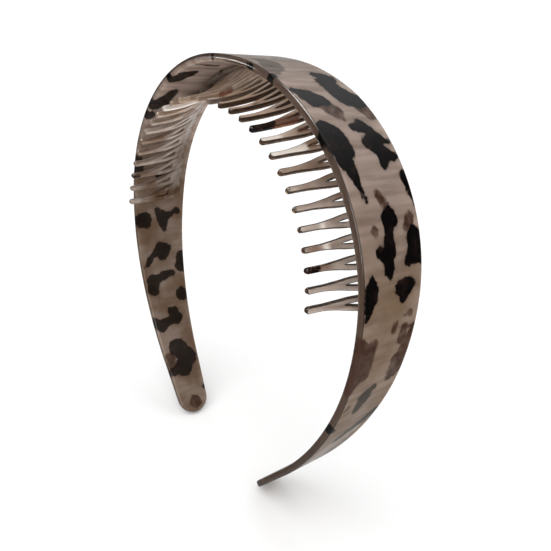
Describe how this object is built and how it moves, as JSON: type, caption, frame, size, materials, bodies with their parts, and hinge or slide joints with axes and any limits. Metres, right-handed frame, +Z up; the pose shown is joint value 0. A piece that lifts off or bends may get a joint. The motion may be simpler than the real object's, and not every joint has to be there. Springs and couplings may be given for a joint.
{
  "type": "headband",
  "caption": "Arched plastic headband with tapered, round-ended legs and a comb of forked teeth bonded inside it.",
  "frame": {"origin": "bottom centre: level with the lowest points of the two tips, under the crown, halfway between the front-most tooth tip and the rear-most point of the band", "axes": "+Z up from the tips to the crown, X across the head from leg to leg, -Y towards the forehead, where the teeth point"},
  "size_m": [0.1318, 0.0318, 0.1501],
  "materials": {
    "band_plastic": "polished mottled acetate",
    "comb_plastic": "polished mottled acetate"
  },
  "bodies": {
    "root": {"band": "band_plastic", "comb": "comb_plastic"}
  },
  "joints": []
}
